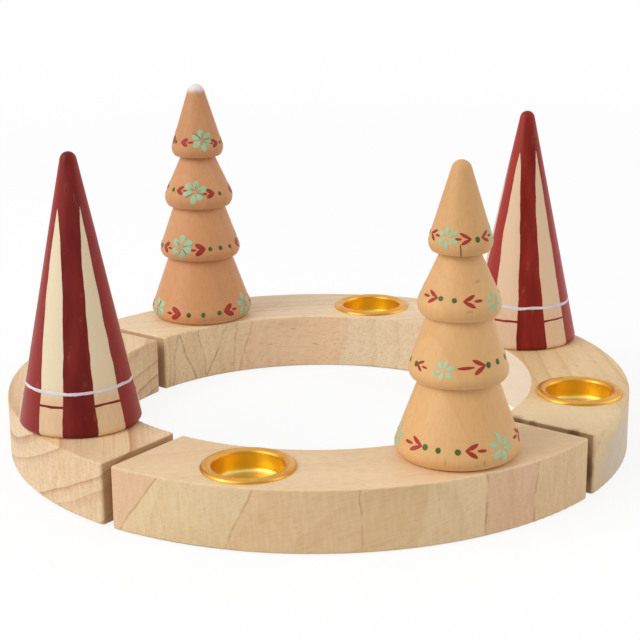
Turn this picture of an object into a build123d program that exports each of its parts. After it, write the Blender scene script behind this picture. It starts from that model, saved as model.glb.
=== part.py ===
"""Advent ring: four loose wooden sections, each with a turned tree and a metal candle cup.

The sections stand on a table in a circle. Every section is a quarter of a flat wooden ring. A stepped
tree or a plain cone is screwed on from below, and a drawn metal cup drops into a drilled socket.
The origin is the middle of the circle on the table, +Z is up and the front section is on -Y.
"""

import math
import os

from build123d import *

# Wooden ring, in millimetres
RING_OUTER_RADIUS = 106.0
BOARD_THICKNESS = 20.0
RIM_MARGIN = 2.0
SECTION_GAP = 3.6
END_EDGE_ROUND = 1.1
FACE_EDGE_ROUND = 0.6

# Places on a section, in degrees either side of its middle, where the trees and cones were drilled by hand
CUP_ANGLE = 21.6
FRONT_TREE_ANGLE = 20.75
RIGHT_TREE_ANGLE = 22.4
BACK_TREE_ANGLE = 22.1
LEFT_TREE_ANGLE = 21.6

# How far inside the middle line each tree or cone stands
TREE_INSETS = {"front": 2.5, "right": 1.9, "back": -1.0, "left": 1.6}

# Candle cup, drawn from sheet metal
CANDLE_BORE_RADIUS = 11.0
CUP_DEPTH = 7.0
CUP_SHEET = 0.6
CUP_FLOOR_ROUND = 1.8
CUP_RIM_WIDTH = 3.5
CUP_RIM_HEIGHT = 1.25
SOCKET_SIDE_CLEARANCE = 0.3
SOCKET_FLOOR_CLEARANCE = 0.8

# Tiered trees, each turned in one piece by hand, so the two differ a little
TREE_HEIGHT = 89.8
TREE_RADIUS = 19.1
TREE_BASE_ROUND = 3.6
BRIM_TURN_IN = 1.0
UNDERSIDE_SHARES = (0.2728, 0.4904, 0.7027)
BRIM_RISE_SHARES = (0.028, 0.034, 0.0305)
FRONT_TREE_TIP_ROUND = 3.1
FRONT_BRIM_SHARES = (0.788, 0.652, 0.497)
FRONT_NECK_SHARES = (0.61, 0.504, 0.302)
BACK_TREE_TIP_ROUND = 3.3
BACK_BRIM_SHARES = (0.8, 0.676, 0.512)
BACK_NECK_SHARES = (0.622, 0.498, 0.3235)

# Plain cones, turned by hand, so the two differ a little in height
CONE_RADIUS = 19.45
CONE_BASE_ROUND = 1.5
CONE_TIP_ROUND = 2.6
LEFT_CONE_HEIGHT = 87.0
RIGHT_CONE_HEIGHT = 84.1

# Countersunk wood screw that holds a tree from below
SCREW_HEAD_RADIUS = 4.0
SCREW_HEAD_HEIGHT = 2.3
SCREW_SHANK_RADIUS = 2.0
SCREW_CORE_RADIUS = 1.5
SCREW_BITE = 15.0
SCREW_POINT_LENGTH = 3.0
SCREW_RECESS = 0.8
CROSS_SLOT_WIDTH = 0.9
CROSS_SLOT_LENGTH = 4.2
CROSS_SLOT_DEPTH = 1.2
SCREW_HOLE_CLEARANCE = 0.15
SCREW_PILOT_CLEARANCE = 0.05
SCREW_PILOT_SPARE = 1.5

# Extra length that carries a cut past the face it starts from
OVERRUN = 1.0

SECTION_HEADINGS = {"front": -90.0, "right": 0.0, "back": 90.0, "left": 180.0}
TREE_ANGLES = {
    "front": FRONT_TREE_ANGLE, "right": RIGHT_TREE_ANGLE, "back": BACK_TREE_ANGLE, "left": LEFT_TREE_ANGLE,
}
RING_WIDTH = 2 * (CANDLE_BORE_RADIUS + CUP_RIM_WIDTH + RIM_MARGIN)
RING_INNER_RADIUS = RING_OUTER_RADIUS - RING_WIDTH
STATION_RADIUS = RING_OUTER_RADIUS - RING_WIDTH / 2
HALF_SECTION_ANGLE = 180.0 / len(SECTION_HEADINGS)


def turned(outline):
    """Solid of revolution about Z from edges drawn as (radius, height)."""
    return revolve(Plane.XZ * make_face(outline), Axis.Z)


def on_round(centre, radius, angle):
    """Point of a rounding at an angle in degrees from the outward direction."""
    swing = math.radians(angle)
    return centre[0] + radius * math.cos(swing), centre[1] + radius * math.sin(swing)


def side_facing(lower, lower_round, upper, upper_round):
    """Angle that a straight side faces when it touches a lower and an upper rounding on their outside."""
    out, up = upper[0] - lower[0], upper[1] - lower[1]
    lean = math.acos((lower_round - upper_round) / math.hypot(out, up))
    return math.degrees(math.atan2(up, out) - lean)


def turned_tree(height, tip_round, tiers):
    """Turned figure of one or more tiers with a rounded tip and a pilot hole for its screw.

    The tiers are listed from the bottom up. Each is a tuple of the underside's height and radius, the brim's
    widest radius, the rise from the underside to that widest place, and the neck: the radius and height where
    its straight side ends. The top tier has no neck, because its side runs into the tip.
    """
    outline = []
    inner = 0.0
    for underside, under_radius, brim, rise, neck in tiers:
        turn = 2 * math.degrees(math.atan2(brim - under_radius, rise))
        rounding = rise / math.sin(math.radians(turn))
        low = (brim - rounding, underside + rise)
        high, high_round = (neck, 0.0) if neck else ((0.0, height - tip_round), tip_round)
        facing = side_facing(low, rounding, high, high_round)
        outline.append(Line((inner, underside), (under_radius, underside)))
        outline.append(CenterArc(low, rounding, -turn, turn + facing))
        outline.append(Line(on_round(low, rounding, facing), on_round(high, high_round, facing)))
        inner = high[0]
    outline.append(CenterArc(high, tip_round, facing, 90.0 - facing))
    outline.append(Line((0.0, height), (0.0, 0.0)))
    pilot = Cylinder(
        SCREW_CORE_RADIUS + SCREW_PILOT_CLEARANCE,
        SCREW_BITE + SCREW_PILOT_SPARE + OVERRUN,
        align=(Align.CENTER, Align.CENTER, Align.MIN),
    )
    return turned(outline) - Pos(0, 0, -OVERRUN) * pilot


def tiered_tree(tip_round, brim_shares, neck_shares):
    """Stepped tree of four tiers, whose upper brims turn in and hang over the neck of the tier below."""
    necks = [
        (neck * TREE_RADIUS, underside * TREE_HEIGHT)
        for neck, underside in zip(neck_shares, UNDERSIDE_SHARES)
    ]
    tiers = [(0.0, TREE_RADIUS - TREE_BASE_ROUND, TREE_RADIUS, TREE_BASE_ROUND, necks[0])]
    for tier, (_, underside) in enumerate(necks):
        upper_neck = necks[tier + 1] if tier + 1 < len(necks) else None
        brim = brim_shares[tier] * TREE_RADIUS
        rise = BRIM_RISE_SHARES[tier] * TREE_HEIGHT
        tiers.append((underside, brim - BRIM_TURN_IN, brim, rise, upper_neck))
    return turned_tree(TREE_HEIGHT, tip_round, tiers)


def plain_cone(height):
    """Smooth cone with a rounded tip, which is a tree of a single tier."""
    base = (0.0, CONE_RADIUS - CONE_BASE_ROUND, CONE_RADIUS, CONE_BASE_ROUND, None)
    return turned_tree(height, CONE_TIP_ROUND, [base])


def candle_cup():
    """Drawn cup with a flat floor, a straight bore and a rolled rim that rests on the wood at height zero."""
    floor = CUP_RIM_HEIGHT - CUP_DEPTH
    wall_radius = CANDLE_BORE_RADIUS + CUP_SHEET
    rim_radius = CANDLE_BORE_RADIUS + CUP_RIM_WIDTH
    corner = (CANDLE_BORE_RADIUS - CUP_FLOOR_ROUND, floor + CUP_FLOOR_ROUND)
    crown = (CANDLE_BORE_RADIUS + CUP_RIM_WIDTH / 2, 0.0)
    return turned([
        Line((0.0, floor), (corner[0], floor)),
        CenterArc(corner, CUP_FLOOR_ROUND, -90.0, 90.0),
        Line((CANDLE_BORE_RADIUS, corner[1]), (CANDLE_BORE_RADIUS, 0.0)),
        EllipticalCenterArc(crown, CUP_RIM_WIDTH / 2, CUP_RIM_HEIGHT, arc_size=180.0),
        Line((rim_radius, 0.0), (rim_radius - CUP_SHEET, 0.0)),
        EllipticalCenterArc(crown, CUP_RIM_WIDTH / 2 - CUP_SHEET, CUP_RIM_HEIGHT - CUP_SHEET, arc_size=180.0),
        Line((wall_radius, 0.0), (wall_radius, corner[1])),
        CenterArc(corner, CUP_FLOOR_ROUND + CUP_SHEET, -90.0, 90.0),
        Line((corner[0], floor - CUP_SHEET), (0.0, floor - CUP_SHEET)),
        Line((0.0, floor - CUP_SHEET), (0.0, floor)),
    ])


def tree_screw():
    """Countersunk wood screw standing on its head at height zero, with a cross slot in the head."""
    neck = BOARD_THICKNESS - SCREW_RECESS
    tip = neck + SCREW_BITE
    point = tip - SCREW_POINT_LENGTH
    body = turned(Polyline(
        (0.0, 0.0),
        (SCREW_HEAD_RADIUS, 0.0),
        (SCREW_SHANK_RADIUS, SCREW_HEAD_HEIGHT),
        (SCREW_SHANK_RADIUS, neck),
        (SCREW_CORE_RADIUS, neck),
        (SCREW_CORE_RADIUS, point),
        (0.0, tip),
        close=True,
    ))
    slot = Box(CROSS_SLOT_LENGTH, CROSS_SLOT_WIDTH, 2 * CROSS_SLOT_DEPTH)
    return body - slot - Rot(0, 0, 90) * slot


def screw_hole():
    """Clearance hole through the board with a countersink and a shallow counterbore at its lower face."""
    hole_radius = SCREW_SHANK_RADIUS + SCREW_HOLE_CLEARANCE
    seat_slope = SCREW_HEAD_HEIGHT / (SCREW_HEAD_RADIUS - SCREW_SHANK_RADIUS)
    seat_top = SCREW_RECESS + seat_slope * (SCREW_HEAD_RADIUS - hole_radius)
    mouth_radius = SCREW_HEAD_RADIUS + SCREW_HOLE_CLEARANCE
    return turned(Polyline(
        (0.0, -OVERRUN),
        (mouth_radius, -OVERRUN),
        (mouth_radius, SCREW_RECESS),
        (SCREW_HEAD_RADIUS, SCREW_RECESS),
        (hole_radius, seat_top),
        (hole_radius, BOARD_THICKNESS + OVERRUN),
        (0.0, BOARD_THICKNESS + OVERRUN),
        close=True,
    ))


def cup_socket():
    """Flat-bottomed socket that the candle cup drops into, from its floor up past the board's top."""
    depth = CUP_DEPTH - CUP_RIM_HEIGHT + CUP_SHEET + SOCKET_FLOOR_CLEARANCE
    return Pos(0, 0, BOARD_THICKNESS - depth) * Cylinder(
        CANDLE_BORE_RADIUS + CUP_SHEET + SOCKET_SIDE_CLEARANCE,
        depth + OVERRUN,
        align=(Align.CENTER, Align.CENTER, Align.MIN),
    )


def at_station(angle, inset=0.0):
    """Place on a section that points along +X, at an angle from its middle and inside its middle line."""
    return Rot(0, 0, angle) * Pos(STATION_RADIUS - inset, 0, 0)


def base_section(tree_station):
    """Quarter of the wooden ring, pointing along +X, with eased edges, a cup socket and a screw hole."""
    half = math.radians(HALF_SECTION_ANGLE)
    apex = SECTION_GAP / 2 / math.sin(half)
    reach = 2 * RING_OUTER_RADIUS
    wedge = make_face(Polyline(
        (apex, 0.0),
        (apex + reach * math.cos(half), -reach * math.sin(half)),
        (apex + reach * math.cos(half), reach * math.sin(half)),
        close=True,
    ))
    quarter = (Circle(RING_OUTER_RADIUS) - Circle(RING_INNER_RADIUS)) & wedge
    blank = extrude(fillet(quarter.vertices(), END_EDGE_ROUND), BOARD_THICKNESS)
    levels = blank.faces().sort_by(Axis.Z)
    eased = fillet(levels[0].edges() + levels[-1].edges(), FACE_EDGE_ROUND)
    return eased - at_station(-CUP_ANGLE) * cup_socket() - tree_station * screw_hole()


def section_pieces(side, tree_name, tree):
    """Pieces of one section by node name, each in its place in the ring."""
    turn = Rot(0, 0, SECTION_HEADINGS[side])
    tree_station = at_station(TREE_ANGLES[side], TREE_INSETS[side])
    cup_place = turn * at_station(-CUP_ANGLE) * Pos(0, 0, BOARD_THICKNESS)
    tree_place = turn * tree_station * Pos(0, 0, BOARD_THICKNESS)
    screw_place = turn * tree_station * Pos(0, 0, SCREW_RECESS)
    return {
        f"{side}_base": turn * base_section(tree_station),
        f"{side}_candle_cup": cup_place * candle_cup(),
        f"{side}_{tree_name}": tree_place * tree,
        f"{side}_tree_screw": screw_place * tree_screw(),
    }


def main():
    """Builds every section and writes one STEP file for each piece."""
    front_tree = tiered_tree(FRONT_TREE_TIP_ROUND, FRONT_BRIM_SHARES, FRONT_NECK_SHARES)
    back_tree = tiered_tree(BACK_TREE_TIP_ROUND, BACK_BRIM_SHARES, BACK_NECK_SHARES)
    trees = {
        "front": ("tiered_tree", front_tree),
        "right": ("striped_cone", plain_cone(RIGHT_CONE_HEIGHT)),
        "back": ("tiered_tree", back_tree),
        "left": ("striped_cone", plain_cone(LEFT_CONE_HEIGHT)),
    }
    os.makedirs("parts", exist_ok=True)
    for side, (tree_name, tree) in trees.items():
        for node, piece in section_pieces(side, tree_name, tree).items():
            export_step(piece, f"parts/{node}.step")


main()
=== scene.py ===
"""Dresses the advent candle ring: pine sections, hand-painted trees, striped cones and gold cups."""

import logging
import math
import random
from collections.abc import Callable, Sequence
from dataclasses import dataclass, field
from enum import Enum

import bmesh
import bpy
from mathutils import Matrix, Vector, noise
from mathutils.bvhtree import BVHTree


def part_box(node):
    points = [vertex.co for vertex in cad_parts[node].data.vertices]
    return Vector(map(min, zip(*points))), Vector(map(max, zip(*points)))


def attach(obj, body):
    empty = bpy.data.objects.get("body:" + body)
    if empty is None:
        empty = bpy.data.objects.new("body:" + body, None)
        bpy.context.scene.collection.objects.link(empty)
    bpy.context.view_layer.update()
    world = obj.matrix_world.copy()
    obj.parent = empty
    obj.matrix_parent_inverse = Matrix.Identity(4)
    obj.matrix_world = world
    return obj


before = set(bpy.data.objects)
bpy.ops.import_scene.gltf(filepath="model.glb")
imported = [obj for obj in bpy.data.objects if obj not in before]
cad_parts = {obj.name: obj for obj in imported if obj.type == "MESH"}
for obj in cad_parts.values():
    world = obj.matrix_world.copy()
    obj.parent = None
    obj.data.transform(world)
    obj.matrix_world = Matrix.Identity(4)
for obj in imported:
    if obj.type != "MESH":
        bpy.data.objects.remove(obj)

log = logging.getLogger("candle_ring")

BMesh = bmesh.types.BMesh
Material = bpy.types.Material
Socket = bpy.types.NodeSocket
Outputs = bpy.types.NodeOutputs
Feeds = dict[str | int, object]
Pair = tuple[float, float]
Triple = tuple[float, float, float]
RGBA = tuple[float, float, float, float]

MM = 0.001
BOARD_TOP = 20.0
SHARP_ANGLE = math.radians(60.0)
WHITE: RGBA = (1.0, 1.0, 1.0, 1.0)


def colour(code: str) -> RGBA:
    """Turns a six-digit screen colour into the linear colour that shaders use.

    Args:
        code: Red, green and blue as six hexadecimal digits.

    Returns:
        Linear red, green, blue and an alpha of one.
    """
    parts = [int(code[place:place + 2], 16) / 255 for place in (0, 2, 4)]
    linear = [part / 12.92 if part <= 0.04045 else ((part + 0.055) / 1.055) ** 2.4 for part in parts]
    return linear[0], linear[1], linear[2], 1.0


def metres(lengths: Sequence[float], way: float = 1.0) -> list[float]:
    """Millimetres as metres, with their signs changed for a way of minus one."""
    return [length * way * MM for length in lengths]


class Side(Enum):
    """The four sections of the ring, each with the heading of its middle in degrees."""

    FRONT = -90.0
    RIGHT = 0.0
    BACK = 90.0
    LEFT = 180.0

    @property
    def label(self) -> str:
        """Start of the section's node and piece names."""
        return self.name.lower()

    @property
    def body(self) -> str:
        """Body that the section's own pieces move with."""
        return f"{self.label}_section"


class Pigment(Enum):
    """Paints of the folk bands: deep colour, light colour and share of worn places."""

    MINT = ("97B78D", "B2CEA6", 0.3)
    RED = ("962C22", "AE3C30", 0.15)
    GREEN = ("3F5A20", "4E6C2B", 0.08)
    SLATE = ("5C6E70", "728486", 0.1)

    @property
    def label(self) -> str:
        """Name of the paint in material and piece names."""
        return self.name.lower()


class Face(Enum):
    """Kinds of upright face on a ring section."""

    END = "end"
    CURVED = "curved"
    INNER = "inner"


class Graph:
    """Adds and joins shader nodes in one node tree."""

    # The Mix node's colour sockets go by number, because their names repeat.
    FACTOR, UNDER, OVER, MIXED = 0, 6, 7, 2

    def __init__(self, tree: bpy.types.NodeTree) -> None:
        """Keeps the tree of a material, world or group that the nodes go into."""
        self.tree = tree

    def add(self, kind: str, feeds: Feeds | None = None, **settings: object) -> bpy.types.Node:
        """Adds a node, sets its properties and feeds its inputs.

        Args:
            kind: Blender's name of the node's type.
            feeds: Values of inputs, by the inputs' names or numbers.
            **settings: Properties to set on the node.

        Returns:
            The new node.
        """
        node = self.tree.nodes.new(kind)
        for name, value in settings.items():
            setattr(node, name, value)
        for name, value in (feeds or {}).items():
            self.feed(node.inputs[name], value)
        return node

    def feed(self, socket: Socket, value: object) -> None:
        """Joins another socket to an input, or sets the input's plain value.

        Args:
            socket: Input that takes the value.
            value: Output socket, number, vector or colour.
        """
        if isinstance(value, Socket):
            self.tree.links.new(value, socket)
        else:
            socket.default_value = value

    def math(self, operation: str, *values: object) -> Socket:
        """Works out one number from values in the order of the Math node's inputs."""
        return self.add("ShaderNodeMath", dict(enumerate(values)), operation=operation).outputs[0]

    def times(self, first: object, second: object) -> Socket:
        """Multiplies two numbers."""
        return self.math("MULTIPLY", first, second)

    def swing(self, value: Socket) -> Socket:
        """Moves a noise that stays near one half so that it lies about zero."""
        return self.math("SUBTRACT", value, 0.5)

    def vector(self, operation: str, output: str, *values: object) -> Socket:
        """Works out one named output from values in the order of the Vector Math node's inputs."""
        return self.add("ShaderNodeVectorMath", dict(enumerate(values)), operation=operation).outputs[output]

    def axes(self, vector: Socket) -> Outputs:
        """Splits a vector into X, Y and Z."""
        return self.add("ShaderNodeSeparateXYZ", {0: vector}).outputs

    def mapped(self, point: Socket, shift: Sequence[float], turn: Sequence[float] = (0.0, 0.0, 0.0)) -> Socket:
        """Turns a point by Euler angles in degrees and then shifts it by metres."""
        feeds = {"Vector": point, "Location": shift, "Rotation": [math.radians(angle) for angle in turn]}
        return self.add("ShaderNodeMapping", feeds, vector_type="POINT").outputs["Vector"]

    def cloud(self, point: Socket, stretch: Triple, detail: float = 2.0) -> Socket:
        """Soft noise in space that stays near one half.

        Args:
            point: Socket of the point, in metres.
            stretch: Features per metre along each axis.
            detail: Octaves of finer noise.

        Returns:
            Socket of the noise.
        """
        place = self.vector("MULTIPLY", "Vector", point, stretch)
        feeds = {"Vector": place, "Scale": 1.0, "Detail": detail}
        return self.add("ShaderNodeTexNoise", feeds, noise_dimensions="3D").outputs["Fac"]

    def drift(self, value: Socket, rate: float) -> Socket:
        """Soft noise along a line that stays near one half, with so many features per unit of the value."""
        feeds = {"W": value, "Scale": rate, "Detail": 1.0}
        return self.add("ShaderNodeTexNoise", feeds, noise_dimensions="1D").outputs["Fac"]

    def step(self, value: Socket, low: float, high: float) -> Socket:
        """Smooth step from zero at the low value to one at the high value."""
        feeds = {"Value": value, "From Min": low, "From Max": high}
        return self.add("ShaderNodeMapRange", feeds, interpolation_type="SMOOTHSTEP").outputs["Result"]

    def ramp(self, value: Socket, stops: Sequence[Pair]) -> Socket:
        """Straight-line curve through grey stops.

        Args:
            value: Socket of the place on the curve, from zero to one.
            stops: Pairs of place and height.

        Returns:
            Socket of the curve's height.
        """
        node = self.add("ShaderNodeValToRGB", {"Fac": value})
        elements = node.color_ramp.elements
        while len(elements) < len(stops):
            elements.new(0.5)
        for element, (place, height) in zip(elements, stops):
            element.position = place
            element.color = (height, height, height, 1.0)
        return node.outputs["Color"]

    def mix(self, factor: object, under: object, over: object, blend: str = "MIX") -> Socket:
        """Blends a colour over another one, by the factor's share."""
        feeds = {self.FACTOR: factor, self.UNDER: under, self.OVER: over}
        settings = {"data_type": "RGBA", "blend_type": blend, "clamp_factor": True}
        return self.add("ShaderNodeMix", feeds, **settings).outputs[self.MIXED]

    def bump(self, height: Socket, distance: float, strength: float) -> Socket:
        """Normal of a relief of about zero to one, with its depth in metres and the share that is used."""
        feeds = {"Strength": strength, "Distance": distance, "Height": height}
        return self.add("ShaderNodeBump", feeds).outputs["Normal"]

    def object_point(self) -> Socket:
        """Point of the surface in the ring's own frame."""
        return self.add("ShaderNodeTexCoord").outputs["Object"]

    def normal(self) -> Socket:
        """Direction that the surface faces in the ring's own frame."""
        return self.add("ShaderNodeTexCoord").outputs["Normal"]


class SharedGroup:
    """A node group that several finishes place with their own values."""

    def __init__(self, name: str, wire: Callable[[Graph, Outputs], Feeds], vectors: Sequence[str],
                 numbers: Sequence[str], outputs: Sequence[str]) -> None:
        """Builds the group once.

        Args:
            name: Name of the node group.
            wire: Adds the nodes from the input sockets and gives the output sockets by name.
            vectors: Names of the vector inputs.
            numbers: Names of the number inputs.
            outputs: Names of the outputs, which are numbers.
        """
        self.tree = bpy.data.node_groups.new(name, "ShaderNodeTree")
        for labels, in_out, kind in ((vectors, "INPUT", "NodeSocketVector"), (numbers, "INPUT", "NodeSocketFloat"),
                                     (outputs, "OUTPUT", "NodeSocketFloat")):
            for label in labels:
                self.tree.interface.new_socket(label, in_out=in_out, socket_type=kind)
        graph = Graph(self.tree)
        graph.add("NodeGroupOutput", wire(graph, graph.add("NodeGroupInput").outputs))

    def place(self, graph: Graph, values: Feeds) -> Outputs:
        """Places the group in a material with input values by name, and gives the group's outputs."""
        return graph.add("ShaderNodeGroup", values, node_tree=self.tree).outputs


def wire_wood(graph: Graph, given: Outputs) -> Feeds:
    """Wood figure with its fibres along local X and growth rings round the pith on that axis.

    Args:
        graph: Graph of the group.
        given: The group's inputs.

    Returns:
        The group's outputs by name.
    """
    point = given["Point"]
    sway = graph.swing(graph.cloud(point, (7.0, 26.0, 26.0)))
    across = graph.vector("LENGTH", "Value", graph.vector("MULTIPLY", "Vector", point, (0.0, 1.0, 1.0)))
    depth = graph.math("MULTIPLY_ADD", sway, given["Wander"], across)
    count = graph.math("DIVIDE", depth, given["Ring Width"])
    uneven = graph.math("MULTIPLY_ADD", graph.swing(graph.drift(count, 0.55)), 1.6, count)
    late = graph.ramp(graph.math("FRACT", uneven),
                      ((0.0, 0.0), (0.3, 0.03), (0.68, 0.2), (0.88, 0.7), (0.955, 1.0), (1.0, 0.0)))
    index = graph.math("FLOOR", uneven)
    tint = graph.add("ShaderNodeTexWhiteNoise", {"W": index}, noise_dimensions="1D").outputs["Value"]
    weight = graph.math("MULTIPLY_ADD", tint, 0.6, 0.4)
    fibre = graph.cloud(point, (38.0, 1300.0, 1300.0), 3.0)
    fleck = graph.step(graph.cloud(point, (230.0, 2300.0, 2300.0), 0.0), 0.7, 0.8)
    blotch = graph.cloud(point, (9.0, 30.0, 30.0), 3.0)
    relief = graph.math("MULTIPLY_ADD", late, 0.35, graph.math("MULTIPLY_ADD", fleck, -0.7, fibre))
    return {"Latewood": graph.times(late, weight), "Tint": tint, "Fibre": fibre, "Fleck": fleck,
            "Blotch": blotch, "Relief": relief}


def wire_brush(graph: Graph, given: Outputs) -> Feeds:
    """Brush marks that run along Z, with thicker and thinner patches of paint.

    Args:
        graph: Graph of the group.
        given: The group's inputs.

    Returns:
        The group's outputs by name.
    """
    point = given["Point"]
    hairs = graph.cloud(point, (900.0, 900.0, 45.0))
    strokes = graph.cloud(point, (230.0, 230.0, 22.0))
    patches = graph.cloud(point, (60.0, 60.0, 30.0))
    body = graph.math("MULTIPLY_ADD", strokes, 0.6, graph.times(patches, 0.4))
    thin = graph.step(graph.cloud(point, (420.0, 420.0, 160.0), 3.0), 0.6, 0.78)
    return {"Streak": graph.step(body, 0.3, 0.7), "Thin": thin,
            "Relief": graph.math("MULTIPLY_ADD", hairs, 0.5, strokes)}


def wire_seam(graph: Graph, given: Outputs) -> Feeds:
    """Wavering edge between two tones of wood, which crosses a board from its underside to its top.

    Args:
        graph: Graph of the group.
        given: The group's inputs.

    Returns:
        The group's outputs by name.
    """
    waver, faint, dark, blur = metres((3.6, 0.55, 0.05, 0.7))
    wave = graph.swing(graph.cloud(given["Point"], (60.0, 60.0, 90.0)))
    over_middle = graph.math("SUBTRACT", given["Height"], BOARD_TOP / 2 * MM)
    away = graph.math("SUBTRACT", graph.math("SUBTRACT", given["Along"], given["Place"]),
                      graph.times(over_middle, given["Lean"]))
    bent = graph.math("MULTIPLY_ADD", wave, waver, away)
    thin = graph.step(graph.math("ABSOLUTE", bent), faint, dark)
    broken = graph.step(graph.cloud(given["Point"], (130.0, 130.0, 210.0)), 0.3, 0.62)
    return {"Beyond": graph.step(bent, -blur, blur), "Line": graph.times(thin, broken)}


def wire_spot(graph: Graph, given: Outputs) -> Feeds:
    """Soft spot about a centre, with its own radius along each axis.

    Args:
        graph: Graph of the group.
        given: The group's inputs.

    Returns:
        The group's outputs by name.
    """
    ragged = graph.times(graph.swing(graph.cloud(given["Point"], (350.0, 350.0, 350.0))), 0.5)
    apart = graph.vector("SUBTRACT", "Vector", given["Point"], given["Centre"])
    shares = graph.vector("DIVIDE", "Vector", apart, given["Radii"])
    away = graph.math("ADD", graph.vector("LENGTH", "Value", shares), ragged)
    return {"Share": graph.step(away, 1.0, 0.35)}


class FinishKit:
    """Node groups that the finishes share."""

    def __init__(self) -> None:
        """Builds the groups."""
        self.wood = SharedGroup("wood_figure", wire_wood, ("Point",), ("Ring Width", "Wander"),
                                ("Latewood", "Tint", "Fibre", "Fleck", "Blotch", "Relief"))
        self.brush = SharedGroup("brush_marks", wire_brush, ("Point",), (), ("Streak", "Thin", "Relief"))
        self.seam = SharedGroup("wood_seam", wire_seam, ("Point",), ("Along", "Height", "Place", "Lean"),
                                ("Beyond", "Line"))
        self.spot = SharedGroup("soft_spot", wire_spot, ("Point", "Centre", "Radii"), (), ("Share",))


class MaterialGraph(Graph):
    """Graph of a new material with one Principled shader."""

    def __init__(self, name: str, feeds: Feeds) -> None:
        """Starts the material.

        Args:
            name: Name of the material.
            feeds: Plain values of the shader's inputs by name.
        """
        self.material = bpy.data.materials.new(name)
        self.material.use_nodes = True
        super().__init__(self.material.node_tree)
        self.shader = self.tree.nodes["Principled BSDF"]
        self.shade(feeds)

    def shade(self, feeds: Feeds) -> None:
        """Feeds the shader's inputs by name."""
        for name, value in feeds.items():
            self.feed(self.shader.inputs[name], value)


@dataclass(frozen=True)
class Seam:
    """Edge between two tones on a section's curved faces. Lengths are in millimetres.

    The place is measured along the section's chord at half the board's height, and the lean is the shift for
    each millimetre of height. The tone tints the wood beyond the edge, and the line is the dark edge's strength.
    """

    place: float
    lean: float
    tone: str
    line: float


@dataclass(frozen=True)
class Spot:
    """Soft spot of colour for wood marks and painted light and shade: its centre and radii in millimetres, colour
    and strength.
    """

    centre: Triple
    radii: Triple
    tone: str
    share: float


@dataclass(frozen=True)
class CutMarks:
    """Pale marks that a cutter left on a section's curved faces: their tilt in degrees and their strength."""

    tilt: Triple
    share: float


@dataclass(frozen=True)
class WoodFinish:
    """Bare sanded wood, whose empty fields are effects that it goes without.

    Lengths are in millimetres. The turn brings the fibres onto local X, and the pith is the place of the log's
    middle line after that turn. The chord is the direction that the seams' places are measured along.
    """

    name: str
    turn: Triple
    pith: Triple
    ring_width: float
    wander: float
    early: str
    late: str
    warm: str
    contrast: float
    fleck: float
    mottle: float = 0.0
    # End-grain tone, partly the wood's own end grain and partly painted shade where an end lies in a gap.
    sawn: str = ""
    # Height in millimetres above which the tip turns white.
    dip: float = 0.0
    crack: Triple | None = None
    chord: Triple = (1.0, 0.0, 0.0)
    seams: tuple[Seam, ...] = ()
    spots: tuple[Spot, ...] = ()
    marks: CutMarks | None = None
    # Painted light: a paler tone on the inner wall.
    inner: str = ""
    # Painted shade: a darker tone towards the top of a turned piece.
    crown: str = ""
    # Painted light on undersides, standing for light thrown up by the floor.
    below: str = ""

    def material(self, kit: FinishKit) -> Material:
        """Builds the material.

        Args:
            kit: Shared node groups.

        Returns:
            The wood material.
        """
        canvas = WoodCanvas(self.name, self, kit)
        rough = canvas.math("MULTIPLY_ADD", canvas.figure["Fibre"], 0.22, canvas.ROUGHNESS - 0.11)
        canvas.shade({"Base Color": canvas.base, "Roughness": rough})
        return canvas.material


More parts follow.
